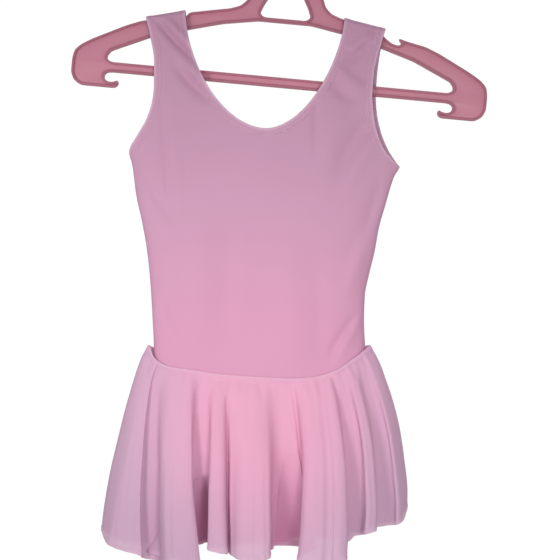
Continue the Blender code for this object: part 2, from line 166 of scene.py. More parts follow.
def pieceFrom(name, points, faces, smoothAngle=50):
    mesh = bpy.data.meshes.new(name)
    mesh.from_pydata((np.asarray(points) * mm).tolist(), [], faces)
    mesh.validate()
    mesh.shade_smooth()
    mesh.set_sharp_from_angle(angle=math.radians(smoothAngle))
    piece = bpy.data.objects.new(name, mesh)
    bpy.context.scene.collection.objects.link(piece)
    return piece


def clothWall(name, points, faces, seam, thickness, flat, edge):
    # A closed wall round the mid-surface. Free edges are rounded, and a seam with another panel
    # is square.
    corners = points[faces]
    crossed = np.cross(corners[:, 2] - corners[:, 0], corners[:, 3] - corners[:, 1])
    normals = np.zeros_like(points)
    for corner in range(4):
        np.add.at(normals, faces[:, corner], crossed)
    normals[seam, 1] = 0
    normals /= np.maximum(np.linalg.norm(normals, axis=1), 1e-9)[:, None]
    half = np.broadcast_to(thickness, len(points))[:, None] / 2
    count = len(points)
    starts = faces.reshape(-1)
    ends = np.roll(faces, -1, axis=1).reshape(-1)
    border = ~np.isin(starts * count + ends, ends * count + starts)
    starts, ends = starts[border], ends[border]
    run = points[ends] - points[starts]
    out = np.zeros_like(points)
    for side in (starts, ends):
        np.add.at(out, side, np.cross(run, normals[side]))
    length = np.linalg.norm(out, axis=1)[:, None]
    out = np.where(length > 0, out / np.maximum(length, 1e-9), 0)
    out[seam] = 0
    rim = np.unique(starts)
    place = np.zeros(count, int)
    place[rim] = np.arange(len(rim))
    layers = [points + normals * half, points - normals * half]
    sources = [np.arange(count), np.arange(count)]
    for degrees in (45, 90, 135):
        angle = math.radians(degrees)
        shift = normals[rim] * math.cos(angle) + out[rim] * math.sin(angle)
        layers.append(points[rim] + shift * half[rim])
        sources.append(rim)
    rings = [(starts, ends)]
    for number in range(3):
        base = 2 * count + number * len(rim)
        rings.append((place[starts] + base, place[ends] + base))
    rings.append((starts + count, ends + count))
    strips = []
    for (startA, endA), (startB, endB) in zip(rings, rings[1:]):
        strips.append(np.stack([endA, startA, startB, endB], axis=-1))
    allFaces = np.vstack([faces, faces[:, ::-1] + count] + strips)
    piece = pieceFrom(name, np.vstack(layers), allFaces.tolist())
    source = np.concatenate(sources)
    loops = np.empty(len(piece.data.loops), int)
    piece.data.loops.foreach_get("vertex_index", loops)
    layer = piece.data.uv_layers.new(name="cloth")
    layer.data.foreach_set("uv", (flat[source][loops] * mm).astype(np.float32).ravel())
    # Mask for the pale highlight painted along the turned edges
    mark = piece.data.attributes.new("edgeHighlightMask", "FLOAT", "POINT")
    mark.data.foreach_set("value", edge[source].astype(np.float32))
    return piece


def nearEdges(points, lines):
    # Distance to the nearest turned edge, and how far along that edge the place is
    total = sum(len(line) for line in lines)
    tree = kdtree.KDTree(total)
    runs = []
    for line in lines:
        gaps = np.linalg.norm(np.diff(line, axis=0), axis=1)
        for point, run in zip(line, np.concatenate([[0], np.cumsum(gaps)])):
            tree.insert(point, len(runs))
            runs.append(run)
    tree.balance()
    found = [tree.find(point) for point in points]
    distance = np.array([item[2] for item in found])
    along = np.array([runs[item[1]] for item in found])
    return distance, along


def surfaceAt(surface, panel, a, b, stepA, stepB):
    point = surface(panel, a, b)
    runA = surface(panel, a + stepA, b) - surface(panel, a - stepA, b)
    runB = surface(panel, a, b + stepB) - surface(panel, a, b - stepB)
    normal = np.cross(runB, runA) * -panel["turn"]
    normal /= np.maximum(np.linalg.norm(normal, axis=1), 1e-9)[:, None]
    return point, normal


def insetLine(across, drop, distance, hand):
    # The line at one distance inside an edge, in the flat pattern
    runA, runD = np.gradient(across), np.gradient(drop)
    length = np.maximum(np.hypot(runA, runD), 1e-9)
    return across - hand * distance * runD / length, drop + hand * distance * runA / length


def stitchPiece(name, rows, look):
    # Every stitch is a short thread that rises from the cloth and goes back into it
    rings = np.array([-1.0, -0.72, 0.0, 0.72, 1.0])
    widths = np.array([0.3, 0.85, 1.0, 0.85, 0.3])
    turns = np.arange(6) * math.pi / 3
    points = []
    faces = []
    for line, normals in rows:
        gaps = np.linalg.norm(np.diff(line, axis=0), axis=1)
        reach = np.concatenate([[0], np.cumsum(gaps)])
        at = np.arange(look["pitch"], reach[-1] - look["pitch"] / 2, look["pitch"])
        place = np.stack([np.interp(at, reach, line[:, k]) for k in range(3)], axis=-1)
        ahead = np.stack([np.interp(at + 0.4, reach, line[:, k]) for k in range(3)], axis=-1)
        up = np.stack([np.interp(at, reach, normals[:, k]) for k in range(3)], axis=-1)
        run = ahead - place
        run /= np.maximum(np.linalg.norm(run, axis=1), 1e-9)[:, None]
        side = np.cross(run, up)
        side /= np.maximum(np.linalg.norm(side, axis=1), 1e-9)[:, None]
        up = np.cross(side, run)
        for number in range(len(at)):
            base = len(points)
            for ring, width in zip(rings, widths):
                middle = place[number] + run[number] * ring * look["length"] / 2
                middle = middle + up[number] * look["radius"] * (0.9 - 0.9 * ring ** 2 + look["lift"])
                for turn in turns:
                    spoke = side[number] * math.cos(turn) + up[number] * math.sin(turn)
                    points.append(middle + spoke * look["radius"] * width)
            for ring in range(4):
                for k in range(6):
                    a = base + ring * 6 + k
                    b = base + ring * 6 + (k + 1) % 6
                    faces.append((a, b, b + 6, a + 6))
            faces.append(tuple(base + k for k in reversed(range(6))))
            faces.append(tuple(base + 24 + k for k in range(6)))
    return pieceFrom(name, points, faces, smoothAngle=70)


# Materials

def colour(hexCode):
    parts = [int(hexCode[k:k + 2], 16) / 255 for k in (0, 2, 4)]
    linear = [part / 12.92 if part <= 0.04045 else ((part + 0.055) / 1.055) ** 2.4 for part in parts]
    return (*linear, 1.0)


def addNode(tree, kind, inputs=None, **settings):
    node = tree.nodes.new(kind)
    for name, value in settings.items():
        setattr(node, name, value)
    for name, value in (inputs or {}).items():
        if isinstance(value, bpy.types.NodeSocket):
            tree.links.new(value, node.inputs[name])
        else:
            node.inputs[name].default_value = value
    return node


def startMaterial(name, swatch):
    made = bpy.data.materials.new(name)
    made.use_nodes = True
    made.diffuse_color = swatch
    tree = made.node_tree
    return made, tree, tree.nodes["Principled BSDF"]


def clothMaterial(name, look):
    # What the eye gets: matt cloth with fine wales, cloudy unevenness, a pale highlight painted along its
    # turned edges, and painted patches of light and shade
    made, tree, shader = startMaterial(name, colour(look["base"]))
    place = addNode(tree, "ShaderNodeTexCoord")
    cloud = addNode(tree, "ShaderNodeTexNoise", {
        "Vector": place.outputs["Object"], "Scale": 1 / (look["cloud"] * mm), "Detail": 2.0,
    })
    fuzz = addNode(tree, "ShaderNodeTexNoise", {
        "Vector": place.outputs["UV"], "Scale": 1 / (0.9 * mm), "Detail": 2.0,
    })
    # Painted light and shade: each patch tints the colour round a place. One is a brighter, pinker pool of
    # light round the waist (on the sheer partly also the layers behind showing through), and one is darker
    # painted shade down in the sheer's deep folds
    shade = None
    for patch in look["paintedLight"]:
        spread = addNode(tree, "ShaderNodeMapping", {
            "Vector": place.outputs["Object"],
            "Location": [-middle / reach for middle, reach in zip(patch["at"], patch["reach"])],
            "Scale": [1 / reach for reach in patch["reach"]],
        })
        ball = addNode(tree, "ShaderNodeTexGradient", {"Vector": spread.outputs["Vector"]},
                       gradient_type="SPHERICAL")
        paintedShare = addNode(tree, "ShaderNodeMapRange", {"Value": ball.outputs["Fac"], "From Max": 0.75},
                           interpolation_type="SMOOTHSTEP")
        ground = addNode(tree, "ShaderNodeMix", {"Factor": paintedShare.outputs["Result"]}, data_type="RGBA")
        ground.inputs[6].default_value = colour(look["base"])
        ground.inputs[7].default_value = colour(patch["paintedHue"])
        if shade:
            tree.links.new(shade, ground.inputs[6])
        shade = ground.outputs[2]
    tint = addNode(tree, "ShaderNodeMix", {"Factor": cloud.outputs["Fac"]}, data_type="RGBA",
                   blend_type="MULTIPLY")
    tree.links.new(shade, tint.inputs[6])
    tint.inputs[7].default_value = colour(look["second"])
    # A pale highlight is painted along the turned edges, using the mask that each cloth piece carries
    edge = addNode(tree, "ShaderNodeAttribute", attribute_name="edgeHighlightMask")
    pale = addNode(tree, "ShaderNodeMix", data_type="RGBA")
    share = addNode(tree, "ShaderNodeMath", {0: edge.outputs["Fac"], 1: look["edge"]}, operation="MULTIPLY")
    tree.links.new(share.outputs[0], pale.inputs[0])
    tree.links.new(tint.outputs[2], pale.inputs[6])
    pale.inputs[7].default_value = colour(look["pale"])
    tree.links.new(pale.outputs[2], shader.inputs["Base Color"])
    wales = addNode(tree, "ShaderNodeTexWave", {
        "Vector": place.outputs["UV"], "Scale": 1 / (look["wale"] * mm) / 20, "Distortion": 0.6,
        "Detail": 1.0,
    }, bands_direction="X")
    courses = addNode(tree, "ShaderNodeTexWave", {
        "Vector": place.outputs["UV"], "Scale": 1 / (look["course"] * mm) / 20, "Distortion": 0.8,
        "Detail": 1.0,
    }, bands_direction="Y")
    weave = addNode(tree, "ShaderNodeMath", {
        0: wales.outputs["Fac"], 1: courses.outputs["Fac"],
    }, operation="MULTIPLY")
    height = addNode(tree, "ShaderNodeMath", {0: weave.outputs[0], 1: fuzz.outputs["Fac"]}, operation="ADD")
    bump = addNode(tree, "ShaderNodeBump", {
        "Height": height.outputs[0], "Strength": look["bump"], "Distance": 0.12 * mm,
    })
    tree.links.new(bump.outputs["Normal"], shader.inputs["Normal"])
    shader.inputs["Roughness"].default_value = look["roughness"]
    shader.inputs["Specular IOR Level"].default_value = 0.25
    shader.inputs["Sheen Weight"].default_value = look["sheen"]
    shader.inputs["Sheen Roughness"].default_value = 0.45
    shader.inputs["Sheen Tint"].default_value = colour(look["pale"])
    shader.inputs["Alpha"].default_value = look["cover"]
    # Some light comes through from behind, tinted by the cloth's colour, with its painted light and painted
    # edge highlight included
    through = addNode(tree, "ShaderNodeBsdfTranslucent", {
        "Color": pale.outputs[2], "Normal": bump.outputs["Normal"],
    })
    mixed = addNode(tree, "ShaderNodeMixShader", {0: look["through"]})
    tree.links.new(shader.outputs[0], mixed.inputs[1])
    tree.links.new(through.outputs[0], mixed.inputs[2])
    tree.links.new(mixed.outputs[0], tree.nodes["Material Output"].inputs["Surface"])
    return made


def plasticMaterial(name, look):
    # What the eye gets: dyed moulded plastic, a little cloudy, with a dull gloss
    made, tree, shader = startMaterial(name, colour(look["base"]))
    place = addNode(tree, "ShaderNodeTexCoord")
    flow = addNode(tree, "ShaderNodeTexNoise", {
        "Vector": place.outputs["Object"], "Scale": 1 / (38 * mm), "Detail": 3.0,
    })
    tint = addNode(tree, "ShaderNodeMix", {"Factor": flow.outputs["Fac"]}, data_type="RGBA")
    tint.inputs[6].default_value = colour(look["base"])
    tint.inputs[7].default_value = colour(look["second"])
    tree.links.new(tint.outputs[2], shader.inputs["Base Color"])
    grain = addNode(tree, "ShaderNodeTexNoise", {
        "Vector": place.outputs["Object"], "Scale": 1 / (0.7 * mm), "Detail": 2.0,
    })
    bump = addNode(tree, "ShaderNodeBump", {
        "Height": grain.outputs["Fac"], "Strength": 0.15, "Distance": 0.05 * mm,
    })
    tree.links.new(bump.outputs["Normal"], shader.inputs["Normal"])
    shader.inputs["Roughness"].default_value = look["roughness"]
    shader.inputs["Subsurface Weight"].default_value = 0.05
    shader.inputs["Subsurface Scale"].default_value = 1.5 * mm
    return made


# The knit's patch is a painted pool of light: a pinker tone round the waist, where the light falls
# brightest.
knit = clothMaterial("stretchKnit", {
    "base": "ca9ab5",
    "paintedLight": [
        {"paintedHue": "d096b2", "at": (-0.03, 0.0, -0.45), "reach": (0.30, 1.0, 0.20)},
    ],
    "second": "fbf9fa",
    "pale": "e6c6d8",
    "cloud": 60,
    "edge": 0.5,
    "wale": 0.9,
    "course": 0.7,
    "bump": 0.25,
    "roughness": 0.82,
    "sheen": 0.12,
    "cover": 1.0,
    "through": 0.06,
})
# The sheer's first patch is a brighter, pinker pool round the waist, partly painted light and partly the
# brief and back layer showing through. Its second patch is painted shade, a darker, fuller pink down in the
# deep fold valleys.
sheer = clothMaterial("softSheer", {
    "base": "dcb8d1",
    "paintedLight": [
        {"paintedHue": "f2b8d2", "at": (-0.03, 0.0, -0.47), "reach": (0.15, 1.0, 0.17)},
        {"paintedHue": "d884b0", "at": (-0.045, 0.0, -0.61), "reach": (0.14, 0.042, 0.13)},
    ],
    "second": "fbf9fb",
    "pale": "ecd0e0",
    "cloud": 45,
    "edge": 0.25,
    "wale": 0.6,
    "course": 0.6,
    "bump": 0.2,
    "roughness": 0.86,
    "sheen": 0.15,
    "cover": 0.74,
    "through": 0.14,
})
sewingThread = plasticMaterial("sewingThread", {"base": "dcb0c6", "second": "e2b9cd", "roughness": 0.6})
plasticFace = plasticMaterial("mouldedFace", {"base": "c88094", "second": "ce889b", "roughness": 0.42})
# The rims and hook take a darker copy of the face's plastic: painted shade standing in for the shadow lines
# along the rims.
plasticRimShaded = plasticMaterial("mouldedRimShaded", {"base": "a96375", "second": "b06a7c", "roughness": 0.52})


# The panels, front and back

front = {
    "side": "front",
    "turn": -1,
    "sag": 30.0,
    "neckDrop": 213.4,
    "neck": {"left": (1.75, 1.9), "right": (1.5, 1.8)},
    "armhole": {
        "drop": [109, 132, 154, 178, 190, 208, 226, 237, 242],
        "left": [111.0, 106.2, 103.0, 103.2, 104.4, 109.5, 119.5, 126.0, 127.1],
        "right": [112.6, 106.6, 101.6, 99.8, 100.6, 103.4, 110.0, 119.5, 126.0],
    },
    # x and drop of both ends, width, height, bow
    "creases": [
        (-133, 106, -90, 152, 4.0, -4.4, 2),
        (-127, 104, -84, 148, 5.0, 4.4, 2),
        (-113, 153, -80, 187, 5.5, -3.4, 1),
        (-107, 148, -74, 180, 5.5, 3.0, 1),
        (70, 130, 42, 155, 5.0, -2.8, -1),
        (72, 122, 48, 142, 5.0, 3.0, -1),
        (32, 167, 56, 187, 6.5, -3.0, 2),
        (40, 158, 64, 176, 5.5, 2.8, 2),
        (-123.5, 198, -116.6, 292, 3.6, -1.9, 1),
        (-114, 205, -108, 300, 6.0, 1.0, 1),
        (18.8, 190, 18.0, 242, 3.4, -1.5, 0),
        (72, 200, 37, 260, 8.0, -4.2, 3),
        (80, 214, 46, 272, 7.0, 2.2, 3),
        (46, 196, 26, 240, 7.0, 1.8, 3),
        (61, 383, 29, 430, 4.5, -2.8, 2),
        (68, 380, 38, 428, 5.5, 1.8, 2),
        (-60, 300, -66, 424, 10.0, -1.8, 2),
        (-84, 290, -92, 420, 9.0, 1.4, 2),
        (-8, 320, -4, 444, 11.0, 1.6, -2),
        (18, 330, 22, 440, 8.0, -1.3, -2),
        (-140, 258, -110, 304, 5.5, -2.2, 2),
        (82, 258, 50, 334, 8.0, -2.4, -3),
        (66, 300, 44, 372, 7.0, 1.7, -2),
        (-128, 372, -104, 422, 5.0, -1.8, 2),
    ],
}
back = {
    "side": "back",
    "turn": 1,
    "sag": 9.0,
    "neckDrop": 239.0,
    "neck": {"left": (2.3, 2.2), "right": (2.3, 2.2)},
    "armhole": {
        "drop": [109, 132, 154, 178, 190, 208, 226, 237, 242],
        "left": [111.0, 105.4, 102.2, 102.4, 103.6, 109.0, 119.5, 126.0, 127.1],
        "right": [112.6, 108.0, 105.2, 104.0, 104.8, 108.4, 115.6, 122.4, 126.0],
    },
    "creases": [
        (-126, 120, -104, 158, 4.0, -2.4, 1),
        (-118, 124, -94, 160, 5.0, 1.8, 1),
        (-118, 176, -98, 212, 5.0, -2.2, -2),
        (72, 118, 52, 150, 4.0, -2.4, 2),
        (60, 166, 44, 204, 5.0, 2.0, 1),
        (-140, 256, -96, 300, 6.0, -2.6, 3),
        (82, 250, 40, 306, 7.0, -3.0, -3),
        (84, 266, 48, 322, 6.0, 1.8, -3),
        (-84, 300, -74, 410, 8.0, -1.8, 2),
        (-30, 262, -26, 360, 9.0, -1.3, -1),
        (18, 320, 30, 424, 8.0, 1.6, 2),
        (-132, 380, -100, 420, 5.0, -2.2, 2),
        (64, 378, 38, 414, 5.0, -1.8, -2),
    ],
}
panels = (front, back)


def neckEdge(panel, hand, down):
    power, root = panel["neck"][hand]
    return dress["neckHalf"] * np.clip(1 - down ** power, 0, 1) ** (1 / root)


def bodicePoint(panel, across, drop):
    shoulder = dress["shoulder"]
    down = np.clip((drop - shoulder) / (panel["neckDrop"] - shoulder), 0, 1)
    share, bulge = bodyPlace(across, drop, panel["side"])
    lean = dress["shoulderSlope"] * (np.abs(across) - dress["strapMiddle"]) * (1 - down) ** 2
    fall = np.clip((drop - dress["underarm"]) / (dress["waist"] - dress["underarm"]), 0, 1)
    level = tilted(across, drop + lean) + panel["sag"] * waistShare(share) * fall ** 1.5
    x = dress["centre"] + across
    still = softStep(0, 0.12, 1 - np.abs(share)) * softStep(2, 12, drop - shoulder)
    still = still * softStep(0, 14, dress["waist"] + 6 - drop)
    crease = creaseDepth(panel["creases"], x, level) * still
    depth = dress["seam"] / 2 + bulge * roll(drop - shoulder, dress["shoulderRoll"]) + crease
    return np.stack([x, panel["turn"] * depth, -level], axis=-1)


def bodiceEdges(panel):
    shoulder = dress["shoulder"]
    swing = np.sin(np.linspace(0, math.pi / 2, 120))
    down = np.concatenate([swing, swing[-2::-1]])
    left = -neckEdge(panel, "left", swing)
    right = neckEdge(panel, "right", swing[-2::-1])
    neck = (np.concatenate([left, right]), shoulder + (panel["neckDrop"] - shoulder) * down)
    drops = np.linspace(shoulder, dress["underarm"], 140)
    armLeft = (-fromTable(panel["armhole"], "left", drops), drops)
    armRight = (fromTable(panel["armhole"], "right", drops), drops)
    return {"neck": (neck, 1), "armLeft": (armLeft, -1), "armRight": (armRight, 1)}


bodice = {
    "cloth": 1.0,
    "turned": 0.5,
    "band": 6.0,
    "edgeSteps": [0, 0.6, 1.3, 2.2, 3.2, 4.3, 5.2, 6.0, 7.0],
    "rollSteps": [0, 0.04, 0.12, 0.22, 0.35, 0.5, 0.68, 0.88, 1.1, 1.4],
    "middleColumns": 44,
    "neckRows": 64,
    "trunkRows": 84,
    "pucker": 0.14,
    "groove": 0.09,
}


def bodicePanel(panel):
    shoulder, underarm, waist = dress["shoulder"], dress["underarm"], dress["waist"]
    rollRows = shoulder + dress["shoulderRoll"] * np.array(bodice["rollSteps"])
    swing = np.sin(np.linspace(0, math.pi / 2, bodice["neckRows"]))
    scoop = shoulder + (panel["neckDrop"] - shoulder) * swing
    scoop = scoop[scoop > rollRows[-1] + 1]
    below = np.arange(panel["neckDrop"], underarm, 2.2)[1:]
    trunk = np.linspace(underarm, waist, bodice["trunkRows"])
    drops = np.concatenate([rollRows, scoop, below, trunk])
    steps = np.array(bodice["edgeSteps"])
    down = np.clip((drops - shoulder) / (panel["neckDrop"] - shoulder), 0, 1)
    points = []
    flats = []
    faces = []
    seams = []
    for hand, sign in (("left", -1), ("right", 1)):
        armEdge = fromTable(panel["armhole"], hand, drops)
        outer = np.where(drops < underarm, armEdge, fromTable(body, hand, drops))
        inner = neckEdge(panel, hand, down)
        width = outer - inner
        middle = np.linspace(0, 1, bodice["middleColumns"] + 2)[1:-1]
        inside = steps[-1] + (width[:, None] - 2 * steps[-1]) * middle
        far = width[:, None] - steps[::-1]
        places = np.hstack([np.tile(steps, (len(drops), 1)), inside, far])
        across = sign * (outer[:, None] - places)
        drop = np.broadcast_to(drops[:, None], across.shape)
        index = np.arange(across.size).reshape(across.shape) + sum(len(part) for part in points)
        made = bodicePoint(panel, across.ravel(), drop.ravel())
        seam = np.zeros(across.shape, bool)
        seam[0] = True
        seam[drops >= underarm, 0] = True
        points.append(made)
        flats.append(np.stack([across.ravel(), -drop.ravel()], axis=-1))
        seams.append(seam.ravel())
        faces.append(gridFaces(index, (panel["turn"] > 0) == (sign < 0)))
    points, faces, flat, seam = welded(
        np.vstack(points), np.vstack(faces), np.vstack(flats), np.concatenate(seams),
    )
    lines = [bodicePoint(panel, across, drop) for (across, drop), _ in bodiceEdges(panel).values()]
    distance, along = nearEdges(points, lines)
    band = 1 - softStep(bodice["band"] - 1.2, bodice["band"] + 0.6, distance)
    groove = np.exp(-((distance - bodice["band"] + 0.8) / 0.9) ** 2)
    thick = bodice["cloth"] + bodice["turned"] * band - bodice["groove"] * groove
    ripple = np.sin(along / 1.9) * 0.6 + np.sin(along / 3.1 + 1.4) * 0.4
    ripple = ripple * bodice["pucker"] * np.exp(-((distance - bodice["band"]) / 5) ** 2)
    points[:, 1] += panel["turn"] * ripple * ~seam
    # Mask for the pale highlight painted along the neck and armhole edges
    edge = np.exp(-(distance / 1.3) ** 2)
    return clothWall("bodice" + panel["side"].title(), points, faces, seam, thick, flat, edge)


def edgeRow(panel, edge, inset):
    # A line beside one edge, between the shoulder's fold and the underarm
    (across, drop), hand = edge
    lineA, lineD = insetLine(across, drop, inset, hand)
    keep = (lineD > dress["shoulder"] + 7) & (lineD < dress["underarm"] - 3)
    return surfaceAt(bodicePoint, panel, lineA[keep], lineD[keep], 0.4, 0.4)


def bodiceStitchRows(panel):
    edges = bodiceEdges(panel)
    rows = []
    for edge in edges.values():
        for inset in stitch["insets"]:
            point, normal = edgeRow(panel, edge, inset)
            rows.append((point + normal * bodice["cloth"] * stitch["outside"], normal))
    if panel["side"] == "back":
        # Where the edge strip of the right armhole is joined, seen on the back's inner side
        for inset in stitch["joinInsets"]:
            point, normal = edgeRow(panel, edges["armRight"], inset)
            near = np.abs(-point[:, 2] - stitch["joinLevel"]) < stitch["joinReach"]
            inner = point[near] - normal[near] * bodice["cloth"] * stitch["inside"]
            rows.append((inner, -normal[near]))
    return rows


stitch = {
    "pitch": 2.6,
    "length": 1.9,
    "radius": 0.24,
    "lift": 0.1,
    "insets": (4.6, 6.0),
    "outside": 0.62,
    "inside": 0.95,
    "joinInsets": (0.2, 0.8, 1.5, 2.3),
    "joinLevel": 192,
    "joinReach": 6,
}
for panel in panels:
    piece = bodicePanel(panel)
    piece.data.materials.append(knit)
    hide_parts("bodice_" + panel["side"])
    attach(piece, "root")
    threads = stitchPiece(piece.name + "Stitches", bodiceStitchRows(panel), stitch)
    threads.data.materials.append(sewingThread)
    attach(threads, "root")
    print(piece.name, len(piece.data.polygons), "faces,", len(threads.data.polygons), "thread faces")


# The brief under the skirt

legOpening = {
    "drop": [458, 470, 490, 515, 545, 570],
    "halfWidth": [1.0, 0.84, 0.63, 0.45, 0.34, 0.31],
}


def briefPoint(panel, turned, drop):
    cut = fromTable(legOpening, "halfWidth", drop)
    side = np.where(turned < 0, fromTable(body, "left", drop), fromTable(body, "right", drop))
    across = cut * turned * side
    share, depth = bodyPlace(across, drop, panel["side"])
    depth = depth * roll(dress["crotch"] - drop, dress["crotchRoll"])
    reach = dress["hip"] + 40
    fade = np.clip((reach - drop) / (reach - dress["waist"]), 0, None) ** 1.5
    level = drop + panel["sag"] * waistShare(share) * fade + dress["seam"] / 2
    sway = brief["sway"] * np.sin(drop / 9 + across / 17) * softStep(0, 0.15, 1 - np.abs(turned))
    sway = sway * softStep(0, 20, drop - dress["waist"]) * softStep(0, 24, dress["crotch"] - drop)
    depth = dress["seam"] / 2 + depth + sway
    return np.stack([dress["centre"] + across, panel["turn"] * depth, -level], axis=-1)


brief = {
    "cloth": 1.0,
    "turned": 0.7,
    "band": 6.0,
    "sway": 0.5,
    "footSteps": [0.8, 0.62, 0.45, 0.3, 0.18, 0.08, 0.02, 0.0],
    "columns": 72,
    "rows": 84,
}


def briefPanel(panel):
    half = np.sin(np.linspace(0, math.pi / 2, brief["columns"] // 2 + 1))
    turns = np.concatenate([-half[::-1], half[1:]])
    ease = np.linspace(0, 1, brief["rows"])
    reach = dress["crotch"] - dress["crotchRoll"]
    drops = np.concatenate([
        dress["waist"] + (reach - dress["waist"]) * ease,
        dress["crotch"] - dress["crotchRoll"] * np.array(brief["footSteps"]),
    ])
    turned, drop = np.meshgrid(turns, drops)
    points = briefPoint(panel, turned.ravel(), drop.ravel())
    index = np.arange(turned.size).reshape(turned.shape)
    seam = np.zeros(turned.shape, bool)
    seam[-1] = True
    seam[drops <= dress["hip"], 0] = True
    seam[drops <= dress["hip"], -1] = True
    legs = drops > dress["hip"]
    lines = [points[index[legs, 0]], points[index[legs, -1]]]
    distance, _ = nearEdges(points, lines)
    band = 1 - softStep(brief["band"] - 1.2, brief["band"] + 0.6, distance)
    thick = brief["cloth"] + brief["turned"] * band
    across = points[:, 0] - dress["centre"]
    flat = np.stack([across, -drop.ravel()], axis=-1)
    # Mask for the pale highlight painted along the leg edges
    edge = np.exp(-(distance / 1.3) ** 2)
    name = "brief" + panel["side"].title()
    return clothWall(name, points, gridFaces(index, panel["turn"] > 0), seam.ravel(), thick, flat, edge)


for panel in panels:
    piece = briefPanel(panel)
    piece.data.materials.append(knit)
    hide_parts("brief_" + panel["side"])
    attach(piece, "root")
    print(piece.name, len(piece.data.polygons), "faces")


# The skirt. Each fold row: place at the waist and at the hem as shares of the half width,
# half width of the fold, how far it stands out at the hem, where down the skirt it starts.

skirtSides = {
    "down": [0.00, 0.06, 0.13, 0.20, 0.32, 0.50, 0.70, 0.90, 1.00],
    "left": [109.5, 115.4, 120.0, 123.8, 129.8, 137.6, 145.6, 151.4, 153.4],
    "right": [98.8, 104.0, 109.0, 112.8, 119.0, 126.0, 130.6, 133.6, 133.4],
    "front": [16.5, 18.6, 21.0, 23.0, 27.0, 32.0, 37.0, 41.0, 43.0],
    "back": [15.3, 17.1, 19.0, 21.0, 24.5, 29.0, 34.0, 38.0, 40.0],
}
front["folds"] = [
    (-0.97, -0.90, 0.08, 4.0, 0.00),
    (-0.88, -0.635, 0.060, -13.0, 0.00),
    (-0.77, -0.555, 0.045, 5.0, 0.02),
    (-0.63, -0.455, 0.08, 12.0, 0.02),
    (-0.495, -0.335, 0.046, -18.0, 0.60),
    (-0.48, -0.322, 0.062, -13.0, 0.02),
    (-0.35, -0.23, 0.05, 9.0, 0.04),
    (-0.08, -0.01, 0.10, 12.0, 0.04),
    (0.20, 0.20, 0.082, -15.0, 0.04),
    (0.235, 0.23, 0.045, -9.0, 0.45),
    (0.44, 0.38, 0.072, 14.0, 0.00),
    (0.57, 0.50, 0.07, 11.0, 0.02),
    (0.70, 0.635, 0.065, -12.0, 0.02),
    (0.79, 0.75, 0.06, 4.0, 0.05),
    (0.87, 0.845, 0.06, -11.0, 0.02),
    (0.95, 0.95, 0.04, 3.0, 0.05),
]
back["folds"] = [
    (-0.90, -0.86, 0.08, -6.0, 0.02),
    (-0.72, -0.70, 0.10, 10.0, 0.03),
    (-0.54, -0.50, 0.08, -17.0, 0.04),
    (-0.34, -0.30, 0.11, 12.0, 0.04),
    (-0.14, -0.09, 0.08, -14.0, 0.10),
    (0.06, 0.11, 0.11, 13.0, 0.05),
    (0.27, 0.33, 0.08, -19.0, 0.04),
    (0.48, 0.53, 0.10, 11.0, 0.06),
    (0.69, 0.72, 0.08, -12.0, 0.02),
    (0.86, 0.88, 0.08, 5.0, 0.05),
]
# Small folds that only the cloth shows. They follow the main ones, so their rows have no place
# at the waist.
front["smallFolds"] = [
    (-0.80, 0.035, 1.4, 0.05),
    (-0.68, 0.02, -1.2, 0.10),
    (-0.56, 0.020, -5.5, 0.45),
    (-0.385, 0.025, 1.2, 0.20),
    (-0.165, 0.016, -8.0, 0.12),
    (0.02, 0.02, -0.9, 0.25),
    (0.085, 0.02, 2.0, 0.35),
    (0.135, 0.02, -5.0, 0.40),
    (0.274, 0.016, -7.0, 0.03),
    (0.44, 0.02, -2.0, 0.10),
    (0.57, 0.02, -2.0, 0.00),
    (0.715, 0.025, 1.2, 0.10),
    (0.93, 0.02, 0.8, 0.20),
]
back["smallFolds"] = [
    (-0.79, 0.03, -1.2, 0.15),
    (-0.61, 0.025, 1.2, 0.05),
    (-0.41, 0.02, -1.1, 0.30),
    (-0.20, 0.03, 1.3, 0.08),
    (0.01, 0.02, -1.0, 0.20),
    (0.22, 0.025, 1.2, 0.10),
    (0.43, 0.02, -1.0, 0.05),
    (0.62, 0.03, 1.3, 0.25),
    (0.80, 0.025, 1.0, 0.08),
]
front["hem"] = {
    "across": [-1, -0.95, -0.72, -0.58, -0.43, -0.30, -0.18, 0.02, 0.12, 0.21, 0.30, 0.43, 0.53, 0.65,
               0.78, 0.90, 0.96, 1],
    "drop": [588, 598, 607, 616, 615, 597, 603, 608, 604, 600, 606, 618, 612, 590, 584, 581, 578, 568],
}
back["hem"] = {
    "across": [-1, -0.95, -0.70, -0.50, -0.30, -0.09, 0.11, 0.33, 0.53, 0.72, 0.90, 0.96, 1],
    "drop": [588, 597, 609, 598, 610, 600, 612, 598, 606, 592, 585, 580, 568],
}
skirt = {
    "cloth": 0.7,
    "hemTurn": 0.6,
    "hemBand": 4.0,
    "waistTurn": 0.5,
    "waistBand": 5.0,
    "foot": 1.5,
    "growth": 0.60,
    "flatTop": 0.16,
    "offBrief": 1.3,
    "pastLeg": 26.0,
    "landing": 1.2,
    "length": 180.0,
    "overhang": 0.42,
    "gather": 0.55,
    "gatherDrop": 9.0,
    "stitchRows": [(2.6, 0.8), (177.2, 0.55)],
    "topSteps": [0, 0.6, 1.4, 2.4, 3.4, 4.4, 5.4, 6.8],
    "hemSteps": [5.6, 4.6, 3.8, 3.0, 2.0, 1.0, 0],
    "columns": 430,
    "rows": 88,
}


def foldDepth(folds, share, down):
    total = np.zeros_like(share)
    for *_, atHem, halfWidth, depth, starts in folds:
        near = np.abs(share - atHem) / halfWidth / skirt["foot"]
        grown = np.clip((down - starts) / (1 - starts), 0, 1) ** skirt["growth"]
        total += depth * grown * (1 - softStep(skirt["flatTop"], 1, near))
    return total


